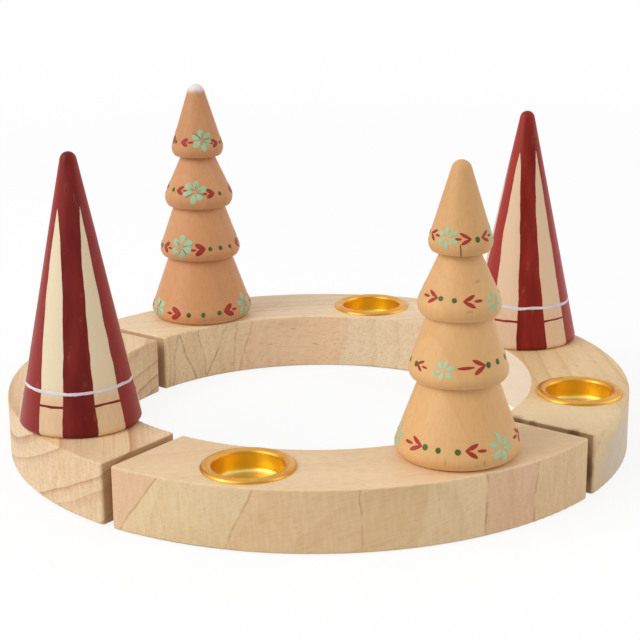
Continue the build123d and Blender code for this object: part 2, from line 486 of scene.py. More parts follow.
class WoodCanvas(MaterialGraph):
    """Graph of a wood material, whose colour grows layer by layer."""

    ROUGHNESS, SPECULAR = 0.5, 0.3
    CUT_TONE, SEAM_TONE, DIP_TONE, CRACK_TONE, FLECK_TONE = "F9EBCF", "B08058", "EFE7E6", "6B4426", "9A6A42"
    # Cosines between which a face counts more and more as facing a direction.
    ASKEW, SQUARE = 0.75, 0.98

    def __init__(self, name: str, finish: WoodFinish, kit: FinishKit) -> None:
        """Starts the material and lays the finish's layers.

        Args:
            name: Name of the material.
            finish: Finish to lay.
            kit: Shared node groups.
        """
        super().__init__(name, {"Roughness": self.ROUGHNESS, "Specular IOR Level": self.SPECULAR})
        self.finish, self.kit = finish, kit
        self.point = self.object_point()
        self.height = self.axes(self.point)["Z"]
        log_point = self.mapped(self.point, metres(finish.pith, -1.0), finish.turn)
        self.figure = kit.wood.place(self, {"Point": log_point, "Ring Width": finish.ring_width * MM,
                                            "Wander": finish.wander * MM})
        self.base: object = colour(finish.early)
        self.lay_growth()
        self.lay_faces()
        self.lay_marks()
        self.shade({"Normal": self.bump(self.figure["Relief"], 0.1 * MM, 0.3)})

    def lay(self, tone: str, share: Socket, strength: float = 1.0, blend: str = "MIX") -> None:
        """Lays a tone over the colour so far, by a share over the surface and a plain strength."""
        factor = share if strength == 1.0 else self.times(share, strength)
        self.base = self.mix(factor, self.base, colour(tone), blend)

    def lay_growth(self) -> None:
        """Lays the growth rings, the fibres and the warmer and darker patches."""
        finish, figure = self.finish, self.figure
        self.lay(finish.warm, figure["Tint"], 0.55)
        self.lay(finish.warm, self.step(figure["Blotch"], 0.4, 0.72))
        self.lay(finish.late, figure["Latewood"], finish.contrast)
        self.lay(finish.late, self.step(figure["Fibre"], 0.42, 0.72), 0.22)
        if finish.mottle:
            patches = self.cloud(self.point, (420.0, 420.0, 70.0), 3.0)
            self.lay(finish.late, self.step(patches, 0.48, 0.75), finish.mottle)

    def lay_faces(self) -> None:
        """Lays what belongs to one kind of face: cutter marks and seams, painted light on inner walls and
        undersides, and painted shade towards the top.
        """
        finish = self.finish
        if finish.marks:
            tilted = self.mapped(self.point, (0.0, 0.0, 0.0), finish.marks.tilt)
            fine = self.step(self.cloud(tilted, (900.0, 900.0, 150.0)), 0.42, 0.66)
            self.lay(self.CUT_TONE, self.times(fine, self.facing(Face.CURVED)), finish.marks.share)
        if finish.seams:
            self.lay_seams()
        # Painted light on the inner wall.
        if finish.inner:
            self.lay(finish.inner, self.facing(Face.INNER), 0.8)
        # Painted light on undersides.
        if finish.below:
            self.lay(finish.below, self.step(self.axes(self.normal())["Z"], -0.35, -0.95), 0.6)
        # Painted shade, darker towards the top.
        if finish.crown:
            self.lay(finish.crown, self.step(self.height, 60.0 * MM, 108.0 * MM), blend="MULTIPLY")

    def lay_seams(self) -> None:
        """Tints the curved faces from seam to seam and draws the seams."""
        curved = self.facing(Face.CURVED)
        along = self.vector("DOT_PRODUCT", "Value", self.point, self.finish.chord)
        tint, lines = WHITE, 0.0
        for seam in self.finish.seams:
            edge = self.kit.seam.place(self, {"Point": self.point, "Along": along, "Height": self.height,
                                              "Place": seam.place * MM, "Lean": seam.lean})
            tint = self.mix(edge["Beyond"], tint, colour(seam.tone))
            lines = self.math("MAXIMUM", self.times(edge["Line"], seam.line), lines)
        self.base = self.mix(curved, self.base, tint, "MULTIPLY")
        self.lay(self.SEAM_TONE, self.times(lines, curved))

    def lay_marks(self) -> None:
        """Lays spots of wood marks and painted light, end grain partly darkened as painted shade, the whitened
        tip, the crack and the resin flecks.
        """
        finish = self.finish
        for spot in finish.spots:
            place = self.kit.spot.place(self, {"Point": self.point, "Centre": metres(spot.centre),
                                               "Radii": metres(spot.radii)})
            self.lay(spot.tone, place["Share"], spot.share)
        # End grain, partly painted shade in the gaps.
        if finish.sawn:
            self.lay(finish.sawn, self.facing(Face.END), 0.55)
        # Whitens the tip above a height.
        if finish.dip:
            waves = self.cloud(self.point, (420.0, 420.0, 120.0))
            ragged = self.math("MULTIPLY_ADD", waves, 1.6 * MM, self.height)
            self.lay(self.DIP_TONE, self.step(ragged, (finish.dip - 0.6) * MM, (finish.dip + 2.2) * MM), 0.9)
        if finish.crack:
            self.lay(self.CRACK_TONE, self.cracked())
        self.lay(self.FLECK_TONE, self.figure["Fleck"], finish.fleck)

    def cracked(self) -> Socket:
        """Share of a short dark drying crack that runs up from the finish's crack.

        Returns:
            Socket of a share between zero and one.
        """
        away = self.axes(self.mapped(self.point, metres(self.finish.crack, -1.0)))
        sideways = self.math("MULTIPLY_ADD", away["Z"], 0.14, away["X"])
        bent = self.math("MULTIPLY_ADD", self.swing(self.drift(away["Z"], 260.0)), 0.9 * MM, sideways)
        share = self.step(self.math("ABSOLUTE", bent), 0.26 * MM, 0.1 * MM)
        ends = self.times(self.step(away["Z"], -0.2 * MM, 0.2 * MM), self.step(away["Z"], 4.2 * MM, 3.2 * MM))
        return self.times(self.times(share, ends), self.step(away["Y"], 9.0 * MM, 4.0 * MM))

    def facing(self, face: Face) -> Socket:
        """Share of one kind of upright face on a ring section.

        Args:
            face: Kind of face.

        Returns:
            Socket of a share between zero and one.
        """
        way = self.vector("NORMALIZE", "Vector", self.vector("MULTIPLY", "Vector", self.point, (1.0, 1.0, 0.0)))
        if face is Face.END:
            way = self.vector("CROSS_PRODUCT", "Vector", way, (0.0, 0.0, 1.0))
        cosine = self.vector("DOT_PRODUCT", "Value", way, self.normal())
        if face is Face.INNER:
            return self.step(cosine, -self.ASKEW, -self.SQUARE)
        return self.step(self.math("ABSOLUTE", cosine), self.ASKEW, self.SQUARE)


@dataclass(frozen=True)
class PaintFinish:
    """Hand-brushed paint that shows its strokes and thins out in places."""

    name: str
    deep: str
    light: str
    under: str
    worn: float
    roughness: float = 0.45
    specular: float = 0.2
    # Painted light and sheen: a lighter red where the paint faces sideways.
    painted_side_light: str = ""

    def material(self, kit: FinishKit) -> Material:
        """Builds the material.

        Args:
            kit: Shared node groups.

        Returns:
            The paint material.
        """
        graph = MaterialGraph(self.name, {"Roughness": self.roughness, "Specular IOR Level": self.specular})
        marks = kit.brush.place(graph, {"Point": graph.object_point()})
        base = graph.mix(marks["Streak"], colour(self.deep), colour(self.light))
        # Painted light and sheen: paint that faces sideways turns lighter.
        if self.painted_side_light:
            sideways = graph.math("ABSOLUTE", graph.axes(graph.normal())["X"])
            base = graph.mix(graph.step(sideways, 0.35, 0.95), base, colour(self.painted_side_light))
        graph.shade({"Base Color": graph.mix(graph.times(marks["Thin"], self.worn), base, colour(self.under)),
                     "Roughness": graph.math("MULTIPLY_ADD", marks["Streak"], 0.12, self.roughness - 0.06),
                     "Normal": graph.bump(marks["Relief"], 0.05 * MM, 0.4)})
        return graph.material


@dataclass(frozen=True)
class MetalFinish:
    """Bare metal with fine turning lines and slightly uneven polish.

    Each layer is a height in millimetres and a painted reflection: the tone that the metal takes under that
    height, standing for what the cup's inner wall and floor reflect.
    """

    name: str
    bright: str
    dull: str
    roughness: float
    # Painted reflections inside the cup.
    layers: tuple[tuple[float, str], ...] = ()

    BLUR = 0.4

    def material(self) -> Material:
        """Builds the material.

        Returns:
            The metal material.
        """
        graph = MaterialGraph(self.name, {"Roughness": self.roughness, "Metallic": 1.0})
        point = graph.object_point()
        patches = graph.step(graph.cloud(point, (160.0, 160.0, 160.0), 3.0), 0.35, 0.7)
        base = graph.mix(patches, colour(self.bright), colour(self.dull))
        # Painted reflections: the inner wall and the floor of the cup take their own tones.
        for top, tone in self.layers:
            under = graph.step(graph.axes(point)["Z"], (top + self.BLUR) * MM, (top - self.BLUR) * MM)
            base = graph.mix(under, base, colour(tone))
        lines = graph.cloud(point, (120.0, 120.0, 6500.0), 1.0)
        graph.shade({"Base Color": base, "Roughness": graph.math("MULTIPLY_ADD", patches, 0.1, self.roughness),
                     "Normal": graph.bump(lines, 0.02 * MM, 0.25)})
        return graph.material


class TurnedSurface:
    """Outside of a turned CAD piece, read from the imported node, which paint can lie on."""

    STEPS = 480
    STEEPEST = 4.0

    def __init__(self, node: str) -> None:
        """Reads the profile of a node that is round about a vertical axis.

        Args:
            node: Name of the CAD node.
        """
        low, high = Vector(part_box(node)[0]), Vector(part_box(node)[1])
        self.axis = Vector(((low.x + high.x) / 2, (low.y + high.y) / 2, 0.0))
        self.low, self.high = low.z, high.z
        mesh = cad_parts[node].data
        tree = BVHTree.FromPolygons([v.co for v in mesh.vertices], [tuple(p.vertices) for p in mesh.polygons])
        reach = high.x - low.x
        self.radii = []
        for count in range(self.STEPS + 1):
            start = self.axis + Vector((reach, 0.0, self.level(count)))
            hit = tree.ray_cast(start, Vector((-1.0, 0.0, 0.0)), reach)[0]
            self.radii.append(hit.x - self.axis.x if hit else 0.0)

    def level(self, count: float) -> float:
        """Height of a step of the profile, just inside the piece at both ends."""
        share = min(max(count / self.STEPS, 0.0005), 0.9999)
        return self.low + (self.high - self.low) * share

    def radius(self, height: float) -> float:
        """Radius of the surface.

        Args:
            height: Height above the table in metres.

        Returns:
            Radius in metres.
        """
        place = min(max((height - self.low) / (self.high - self.low), 0.0), 1.0) * self.STEPS
        step = min(int(place), self.STEPS - 1)
        share = place - step
        return self.radii[step] * (1 - share) + self.radii[step + 1] * share

    def lean(self, height: float) -> float:
        """Change of radius for each unit of height, taken over a millimetre."""
        return (self.radius(height + MM / 2) - self.radius(height - MM / 2)) / MM

    def spot(self, angle: float, height: float, lift: float = 0.0) -> Vector:
        """Point on or just off the surface.

        Args:
            angle: Direction from the axis in radians.
            height: Height above the table in metres.
            lift: Distance off the surface in metres.

        Returns:
            The point in the ring's frame.
        """
        lean = max(-self.STEEPEST, min(self.STEEPEST, self.lean(height)))
        slant = math.hypot(1.0, lean)
        radius = self.radius(height) + lift / slant
        turned = Vector((math.cos(angle) * radius, math.sin(angle) * radius, height - lift * lean / slant))
        return self.axis + turned


def put(name: str, data: bpy.types.ID) -> bpy.types.Object:
    """Adds an object to the scene.

    Args:
        name: Name of the object.
        data: Mesh, light or camera that it shows.

    Returns:
        The new object.
    """
    thing = bpy.data.objects.new(name, data)
    bpy.context.scene.collection.objects.link(thing)
    return thing


def add_piece(mesh: BMesh, name: str, body: str, material: Material) -> None:
    """Turns a bmesh into a piece that rides on a body.

    Args:
        mesh: Finished bmesh, which is freed.
        name: Name of the piece.
        body: Body that the piece moves with.
        material: The piece's material.
    """
    bmesh.ops.recalc_face_normals(mesh, faces=mesh.faces)
    for edge in mesh.edges:
        edge.smooth = edge.calc_face_angle(0.0) < SHARP_ANGLE
    data = bpy.data.meshes.new(name)
    mesh.to_mesh(data)
    mesh.free()
    for polygon in data.polygons:
        polygon.use_smooth = True
    piece = put(name, data)
    data.materials.append(material)
    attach(piece, body)
    log.info("piece %s: %d faces on %s", name, len(data.polygons), body)


def dress(node: str, material: Material) -> None:
    """Gives a CAD node its material.

    Args:
        node: Name of the CAD node.
        material: Material for the whole node.
    """
    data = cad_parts[node].data
    data.materials.clear()
    data.materials.append(material)
    log.info("node %s: %s", node, material.name)


@dataclass(frozen=True)
class Arrow:
    """Painted arrow: its point's distance from the flower, and its head's and stalk's lengths in millimetres."""

    reach: float
    head: float
    stem: float


@dataclass
class Brush:
    """Lays small raised paint strokes on a turned surface. Lengths are in millimetres.

    A motif's place is its angle in radians and its height in metres. The petal's and the leaf's widths are
    shares of the flower's size and of the arrow's head.
    """

    surface: TurnedSurface
    rng: random.Random
    petal: float
    leaf: float
    meshes: dict[Pigment, BMesh] = field(default_factory=lambda: {pigment: bmesh.new() for pigment in Pigment})

    # How far a stroke's lower edge, upper edge and middle lie off the wood.
    EDGE, RIM, CROWN = -0.04, 0.07, 0.12
    CORNERS = 12
    PETALS = 6

    def stroke(self, pigment: Pigment, place: Pair, start: Pair, heading: float, length: float, width: float,
               taper: float, bend: float = 0.0) -> None:
        """Adds one stroke of the brush as a low domed blob.

        Args:
            pigment: Paint of the stroke.
            place: Place of the motif.
            start: Where the stroke starts, sideways and upwards from the motif's place.
            heading: Direction of the stroke in radians, with zero towards larger angles.
            length: Length of the stroke.
            width: Width of the stroke at its widest.
            taper: Share of the width that is left where the stroke starts.
            bend: Sideways drift of the stroke's end.
        """
        mesh = self.meshes[pigment]
        made = bmesh.ops.create_circle(mesh, cap_ends=True, segments=self.CORNERS, radius=1.0)
        bottom = made["verts"][0].link_faces[0]
        top = bmesh.ops.extrude_face_region(mesh, geom=[bottom], use_keep_orig=True)["geom"]
        lid = next(part for part in top if isinstance(part, bmesh.types.BMFace))
        bmesh.ops.translate(mesh, verts=list(lid.verts), vec=(0.0, 0.0, 1.0))
        ring = set(lid.verts)
        bmesh.ops.inset_individual(mesh, faces=[lid], thickness=0.25)
        middle = bmesh.ops.poke(mesh, faces=[lid])["verts"][0]
        lifts = {vert: self.EDGE for vert in made["verts"]}
        lifts.update({vert: self.RIM for vert in ring})
        inner = [edge.other_vert(middle) for edge in middle.link_edges]
        lifts.update({vert: (self.RIM + self.CROWN) / 2 for vert in inner})
        lifts[middle] = self.CROWN
        angle, height = place
        cosine, sine = math.cos(heading), math.sin(heading)
        for vert, lift in lifts.items():
            along = (vert.co.x + 1) / 2
            grown = taper + (1 - taper) * math.sin(min(along * 1.5, 1.0) * math.pi / 2)
            far = along * length
            side = vert.co.y * width / 2 * grown + bend * along * along
            right = start[0] + far * cosine - side * sine
            up = start[1] + far * sine + side * cosine
            slant = math.hypot(1.0, self.surface.lean(height + up * MM * 0.5))
            level = height + up * MM / slant
            vert.co = self.surface.spot(angle + right * MM / self.surface.radius(level), level, lift * MM)

    def flower(self, place: Pair, size: float) -> None:
        """Paints a flower of six petals.

        Args:
            place: Place of the flower's middle.
            size: Distance across the flower.
        """
        turn = self.rng.uniform(-0.25, 0.25) + math.pi / 2
        for petal in range(self.PETALS):
            heading = turn + petal * math.pi / 3 + self.rng.uniform(-0.13, 0.13)
            hollow = size * self.rng.uniform(0.07, 0.12)
            length = size / 2 * self.rng.uniform(0.92, 1.08) - hollow
            start = (hollow * math.cos(heading), hollow * math.sin(heading))
            width = size * self.petal * self.rng.uniform(0.9, 1.1)
            self.stroke(Pigment.MINT, place, start, heading, length, width, 0.35)

    def veins(self, place: Pair, size: float) -> None:
        """Paints the thin dark lines between some petals of a flower.

        Args:
            place: Place of the flower's middle.
            size: Distance across the flower.
        """
        for petal in self.rng.sample(range(self.PETALS), 5):
            heading = petal * math.pi / 3 + self.rng.uniform(0.2, 0.8)
            start = (size * 0.06 * math.cos(heading), size * 0.06 * math.sin(heading))
            length = size * self.rng.uniform(0.26, 0.44)
            self.stroke(Pigment.SLATE, place, start, heading, length, size * 0.05, 0.5)

    def arrow(self, place: Pair, way: float, arrow: Arrow) -> None:
        """Paints an arrow of a short stalk and two leaves that meet in a point.

        Args:
            place: Place of the arrow's point.
            way: One if the arrow points towards larger angles, minus one if it points back.
            arrow: Sizes of the arrow.
        """
        head = arrow.head
        forward = (0.0 if way > 0 else math.pi) + self.rng.uniform(-0.1, 0.1)
        for turn in (-1.0, 1.0):
            heading = forward + math.pi + turn * self.rng.uniform(0.34, 0.44)
            length = head * self.rng.uniform(1.0, 1.12)
            bend = turn * head * 0.08
            self.stroke(Pigment.RED, place, (0.0, 0.0), heading, length, head * self.leaf, 0.45, bend)
        back = forward + math.pi
        gap = head * 0.85
        start = (math.cos(back) * gap, math.sin(back) * gap)
        self.stroke(Pigment.RED, place, start, back, arrow.stem, head * 0.24, 0.8)

    def dot(self, place: Pair, size: float) -> None:
        """Paints a round dot of about a size."""
        wide = size * self.rng.uniform(0.9, 1.1)
        self.stroke(Pigment.GREEN, place, (-wide / 2, 0.0), 0.0, wide, size * self.rng.uniform(1.0, 1.15), 1.0)


@dataclass(frozen=True)
class Band:
    """Painted band of one tier: where its flowers stand and how the space between them is filled.

    The flowers' directions are in degrees from the photograph's camera, in rising order. After each flower comes
    a gap with dots at shares of the space between two arrow points, and the gaps are listed in the flowers' order.
    Heights are in millimetres above the tier's underside. The tilt raises the band on the right and lowers it on
    the left.
    """

    underside: float
    height: float
    flowers: tuple[float, ...]
    size: float
    left: Arrow
    right: Arrow
    gaps: tuple[tuple[float, ...], ...]
    dot: float
    flower_lift: float
    tilt: float = 0.0

    def level(self, direction: float) -> float:
        """Height of the band over the tree's foot, in millimetres, in a direction in degrees."""
        return self.underside + self.height + self.tilt * math.sin(math.radians(direction))


@dataclass
class TieredTree:
    """Turned tree with a painted band of flowers, arrows and dots on each tier."""

    side: Side
    facing: float
    bands: tuple[Band, ...]
    wood: WoodFinish
    seed: int
    leaf: float
    petal: float
    has_veins: bool = False
    surface: TurnedSurface = field(init=False)
    brush: Brush = field(init=False)

    def __post_init__(self) -> None:
        """Reads the tree's surface and takes up a brush for it."""
        self.surface = TurnedSurface(f"{self.side.label}_tiered_tree")
        self.brush = Brush(self.surface, random.Random(self.seed), self.petal, self.leaf)

    def build(self, kit: FinishKit, paints: dict[Pigment, Material]) -> None:
        """Dresses the turned tree and paints its bands.

        Args:
            kit: Shared node groups.
            paints: Paint materials by pigment.
        """
        dress(f"{self.side.label}_tiered_tree", self.wood.material(kit))
        for band in self.bands:
            for number in range(len(band.flowers)):
                self.motif(band, number)
        for pigment, mesh in self.brush.meshes.items():
            if mesh.faces:
                name = f"{self.side.label}_tree_{pigment.label}_strokes"
                add_piece(mesh, name, self.side.body, paints[pigment])
            else:
                mesh.free()

    def motif(self, band: Band, number: int) -> None:
        """Paints a flower, the arrows either side of it and the dots up to the next arrow.

        Args:
            band: Band of the tier.
            number: Which of the band's flowers is painted.
        """
        brush = self.brush
        middle = band.flowers[number]
        apart = (band.flowers[(number + 1) % len(band.flowers)] - middle) % 360.0
        spread = math.degrees(MM / self.surface.radius(self.surface.low + (band.underside + band.height) * MM))
        flower = self.place(band, middle, band.flower_lift)
        brush.flower(flower, band.size)
        if self.has_veins:
            brush.veins(flower, band.size)
        for way, arrow in ((-1.0, band.left), (1.0, band.right)):
            point = self.place(band, middle + way * arrow.reach * spread, brush.rng.uniform(-0.15, 0.15))
            brush.arrow(point, way, arrow)
        first = band.right.reach * spread
        for share in band.gaps[number]:
            direction = middle + first + (apart - first - band.left.reach * spread) * share
            brush.dot(self.place(band, direction, brush.rng.uniform(-0.4, 0.0)), band.dot)

    def place(self, band: Band, direction: float, lift: float) -> Pair:
        """Place of a motif in a direction in degrees from the camera's, by a lift in millimetres over its band."""
        return math.radians(self.facing + direction), self.surface.low + (band.level(direction) + lift) * MM


@dataclass(frozen=True)
class Stripe:
    """Bare stripe of a cone, left between red ones. Angles are in degrees from the camera's direction.

    The swell is how far each edge bows away from the straight line between the foot and the tip.
    """

    left: float
    right: float
    tip: float
    tip_share: float
    swell: Pair = (-4.0, 3.0)

    def edge(self, share: float, number: int) -> float:
        """Direction of one edge, which is straight on the unrolled cone but for its swell.

        Args:
            share: Distance from the cone's point, as a share of its side.
            number: Zero for the left edge and one for the right edge.

        Returns:
            Direction in degrees.
        """
        if share <= self.tip_share:
            return self.tip
        climb = (1.0 - share) / (1.0 - self.tip_share)
        bow = min(1.0, climb / 0.6) * (1.0 - climb ** 10)
        foot = (self.left, self.right)[number]
        rate = (foot - self.tip_share * self.tip) / (1 - self.tip_share)
        return (self.tip_share * (self.tip - rate) + rate * share) / share + self.swell[number] * bow


@dataclass
class StripedCone:
    """Turned cone with a red coat that leaves pale wedges bare, and two thin painted lines.

    Lengths are in millimetres, and the lines' heights are above the cone's foot.
    """

    side: Side
    facing: float
    stripes: tuple[Stripe, ...]
    wood: WoodFinish
    pale_line: float
    thin_line: float
    seed: int
    cream: str
    surface: TurnedSurface = field(init=False)

    COAT_LIFT, COAT_DEPTH = 0.02, 0.06
    COLUMNS, ROWS = 6, 96
    # Half the width and the lift of the two lines, and the plain ring that a line is bent from.
    THIN, PALE = (0.36, 0.06), (0.49, 0.12)
    RING_RADIUS, RING_STEPS, RING_CORNERS = 10.0, 144, 8

    def __post_init__(self) -> None:
        """Reads the cone's surface."""
        self.surface = TurnedSurface(f"{self.side.label}_striped_cone")

    def build(self, kit: FinishKit, red: Material, pale: Material) -> None:
        """Dresses the cone and lays its paint.

        Args:
            kit: Shared node groups.
            red: Material of the red coat and the thin line.
            pale: Material of the pale line.
        """
        dress(f"{self.side.label}_striped_cone", self.washed_wood(kit))
        for part, mesh, paint in (("red_coat", self.red_coat(), red),
                                  ("thin_line", self.ring_line(self.thin_line, *self.THIN), red),
                                  ("pale_line", self.ring_line(self.pale_line, *self.PALE), pale)):
            add_piece(mesh, f"{self.side.label}_cone_{part}", self.side.body, paint)

    def washed_wood(self, kit: FinishKit) -> Material:
        """Wood with a cream wash that leaves the foot of the cone bare.

        Args:
            kit: Shared node groups.

        Returns:
            The material.
        """
        canvas = WoodCanvas(f"{self.side.label}_cone_wash", self.wood, kit)
        ragged = canvas.math("MULTIPLY_ADD", canvas.figure["Fibre"], 5.0 * MM, canvas.height)
        foot = (BOARD_TOP + self.pale_line) * MM
        wash = canvas.step(ragged, foot - 1.0 * MM, foot + 5.0 * MM)
        thick = canvas.math("MULTIPLY_ADD", canvas.figure["Blotch"], 0.35, 0.6)
        canvas.lay(self.cream, canvas.times(wash, thick))
        canvas.shade({"Base Color": canvas.base})
        return canvas.material

    def red_coat(self) -> BMesh:
        """Thin coat of paint over the whole cone but the bare stripes.

        Returns:
            Closed bmesh of the coat.
        """
        mesh = bmesh.new()
        wide = 2 * self.COLUMNS * len(self.stripes)
        bmesh.ops.create_grid(mesh, x_segments=wide, y_segments=self.ROWS, size=0.5)
        bare = []
        for face in mesh.faces:
            middle = face.calc_center_median()
            column = int((middle.x + 0.5) * wide) // self.COLUMNS
            if column % 2 == 0 and self.depth_share(0.5 - middle.y) > self.stripes[column // 2].tip_share:
                bare.append(face)
        surface = self.surface
        for vert in mesh.verts:
            share = self.depth_share(0.5 - vert.co.y)
            angle = self.column_angle(round((vert.co.x + 0.5) * wide), share)
            height = surface.high - share * (surface.high - surface.low - 0.25 * MM)
            vert.co = surface.spot(math.radians(self.facing + angle), height, self.COAT_LIFT * MM)
        bmesh.ops.delete(mesh, geom=bare, context="FACES")
        bmesh.ops.remove_doubles(mesh, verts=mesh.verts, dist=0.004 * MM)
        bmesh.ops.recalc_face_normals(mesh, faces=mesh.faces)
        bmesh.ops.solidify(mesh, geom=mesh.faces, thickness=-self.COAT_DEPTH * MM)
        return mesh

    def depth_share(self, row: float) -> float:
        """Distance from the cone's point for a row of the coat, with rows closer together at both ends."""
        return 0.5 - 0.5 * math.cos(math.pi * row)

    def column_angle(self, column: int, share: float) -> float:
        """Direction of a column of the coat.

        Args:
            column: Number of the column.
            share: Distance from the cone's point as a share of its side.

        Returns:
            Direction in degrees from the camera's direction.
        """
        block = min(column // self.COLUMNS, 2 * len(self.stripes) - 1)
        inside = (column - block * self.COLUMNS) / self.COLUMNS
        first = self.wobbled(block // 2, share, block % 2)
        second = self.wobbled(block // 2 + block % 2, share, 1 - block % 2)
        return first + (second - first) * inside

    def wobbled(self, index: int, share: float, edge: int) -> float:
        """Direction of a stripe's edge with the unsteadiness of a hand.

        Args:
            index: Number of the stripe, where the count of stripes means the first again, a full turn on.
            share: Distance from the cone's point as a share of its side.
            edge: Zero for the left edge and one for the right edge.

        Returns:
            Direction in degrees.
        """
        lap, number = divmod(index, len(self.stripes))
        stripe = self.stripes[number]
        angle = stripe.edge(share, edge) + 360.0 * lap
        if share <= stripe.tip_share:
            return angle
        grown = min(1.0, (share - stripe.tip_share) * 9)
        seat = Vector((share * 11.0, number * 7.3 + edge * 3.1, float(self.seed)))
        return angle + grown * (1.5 * noise.noise(seat) + 0.5 * noise.noise(seat * 3.7)) / (0.35 + share)

    def ring_line(self, height: float, width: float, lift: float) -> BMesh:
        """Thin painted line all round the cone.

        Args:
            height: Height of the line above the cone's foot.
            width: Half the width of the line.
            lift: Height of the line's crown over the wood.

        Returns:
            Closed bmesh of the line.
        """
        mesh = bmesh.new()
        section = bmesh.ops.create_circle(mesh, segments=self.RING_CORNERS, radius=1.0)["verts"]
        bmesh.ops.rotate(mesh, verts=section, cent=(0, 0, 0), matrix=Matrix.Rotation(math.pi / 2, 3, "X"))
        bmesh.ops.translate(mesh, verts=section, vec=(self.RING_RADIUS, 0.0, 0.0))
        bmesh.ops.spin(mesh, geom=mesh.edges, cent=(0, 0, 0), axis=(0, 0, 1), angle=2 * math.pi,
                       steps=self.RING_STEPS, use_merge=True)
        for vert in mesh.verts:
            angle = math.atan2(vert.co.y, vert.co.x)
            out = math.hypot(vert.co.x, vert.co.y) - self.RING_RADIUS
            seat = Vector((math.cos(angle) * 2.2, math.sin(angle) * 2.2, self.seed + height))
            sway = noise.noise(seat) * 0.55 + noise.noise(seat * 3.1) * 0.12
            thick = width * (1.0 + 0.35 * noise.noise(seat * 2.3 + Vector((5.0, 0.0, 0.0))))
            level = self.surface.low + (height + sway + vert.co.z * thick) * MM
            off = lift - 0.1 if out < -0.1 else lift * (0.55 + 0.45 * max(out, 0.0))
            vert.co = self.surface.spot(angle, level, off * MM)
        bmesh.ops.remove_doubles(mesh, verts=mesh.verts, dist=0.001 * MM)
        return mesh


@dataclass(frozen=True)
class Lamp:
    """Square soft light that faces the ring: its place and side in metres and its power in watts."""

    name: str
    place: Triple
    side: float
    power: float

    AIM = (0.0, 0.0, 0.04)

    def hang(self) -> None:
        """Adds the light to the scene."""
        data = bpy.data.lights.new(self.name, "AREA")
        data.size = self.side
        data.energy = self.power
        turn = (Vector(self.AIM) - Vector(self.place)).to_track_quat("-Z", "Y")
        put(self.name, data).matrix_world = Matrix.Translation(self.place) @ turn.to_matrix().to_4x4()


@dataclass
class Studio:
    """White floor, soft light and the photograph's camera. Lengths are in metres."""

    turn: float = -8.02
    eye: Triple = (0.00065, -0.5524, 0.20095)
    elevation: float = 16.27
    roll: float = -0.477
    lens: float = 94.34
    sensor: float = 36.0
    floor_half: float = 6.0
    floor_drop: float = 0.0003
    lamps: tuple[Lamp, ...] = (Lamp("key", (-1.22, -0.49, 0.92), 1.1, 14.5),
                               Lamp("fill", (1.4, -0.3, 0.7), 1.2, 5.5))
    ambient: float = 0.6
    glow: float = 0.84
    bounce: float = 0.6
    front_gleam: float = 0.45

    def build(self) -> None:
        """Sets up the camera, the lights, the world and the floor."""
        bpy.context.scene.view_settings.view_transform = "Standard"
        self.camera()
        for lamp in self.lamps:
            lamp.hang()
        self.world()
        self.floor()

    def camera(self) -> None:
        """Places the camera where the photograph was taken."""
        data = bpy.data.cameras.new("photo_camera")
        data.lens = self.lens
        data.sensor_width = self.sensor
        data.sensor_fit = "HORIZONTAL"
        data.clip_start = 0.01
        camera = put("photo_camera", data)
        turn = Matrix.Rotation(math.radians(self.turn), 4, "Z")
        aim = Matrix.Rotation(math.radians(90.0 - self.elevation), 4, "X")
        roll = Matrix.Rotation(math.radians(self.roll), 4, "Z")
        camera.matrix_world = turn @ Matrix.Translation(self.eye) @ aim @ roll
        bpy.context.scene.camera = camera

    def seen(self, graph: Graph) -> Socket:
        """One for rays that show the surroundings to the camera, straight or by a mirror or glass.

        Args:
            graph: Graph of the world or the floor.

        Returns:
            Socket of the mask.
        """
        path = graph.add("ShaderNodeLightPath").outputs
        mirrored = graph.math("MAXIMUM", path["Is Glossy Ray"], path["Is Transmission Ray"])
        return graph.math("MAXIMUM", path["Is Camera Ray"], mirrored)

    def world(self) -> None:
        """Makes the surroundings white to look at, softer as a light and dimmer as a gleam from the front."""
        world = bpy.data.worlds.new("studio")
        bpy.context.scene.world = world
        world.use_nodes = True
        graph = Graph(world.node_tree)
        plain = graph.math("MULTIPLY_ADD", self.seen(graph), 1.0 - self.ambient, self.ambient)
        direction = graph.add("ShaderNodeTexCoord").outputs["Generated"]
        ahead = graph.step(graph.axes(direction)["Y"], -0.15, -0.75)
        glossy = graph.add("ShaderNodeLightPath").outputs["Is Glossy Ray"]
        dim = graph.times(graph.times(glossy, ahead), self.front_gleam - 1.0)
        ground = world.node_tree.nodes["Background"]
        graph.feed(ground.inputs["Color"], WHITE)
        graph.feed(ground.inputs["Strength"], graph.math("ADD", plain, dim))

    def floor(self) -> None:
        """Lays a pale floor just under the ring, which keeps the ring's shadow."""
        mesh = bmesh.new()
        bmesh.ops.create_grid(mesh, x_segments=2, y_segments=2, size=self.floor_half)
        bmesh.ops.translate(mesh, verts=mesh.verts, vec=(0.0, 0.0, -self.floor_drop))
        data = bpy.data.meshes.new("floor")
        mesh.to_mesh(data)
        mesh.free()
        floor = put("floor", data)
        graph = MaterialGraph("floor_white", {"Roughness": 0.9, "Specular IOR Level": 0.0})
        seen = self.seen(graph)
        grey = (self.bounce, self.bounce, self.bounce, 1.0)
        graph.shade({"Base Color": graph.mix(seen, grey, WHITE)})
        glow = graph.add("ShaderNodeEmission", {"Strength": 1.0})
        away = graph.step(graph.vector("LENGTH", "Value", graph.object_point()), 0.2, 1.2)
        share = graph.math("MULTIPLY_ADD", away, 1.0 - self.glow, self.glow)
        blend = graph.add("ShaderNodeMixShader", {0: graph.times(seen, share), 1: graph.shader.outputs[0],
                                                  2: glow.outputs[0]})
        graph.feed(graph.tree.nodes["Material Output"].inputs["Surface"], blend.outputs[0])
        data.materials.append(graph.material)


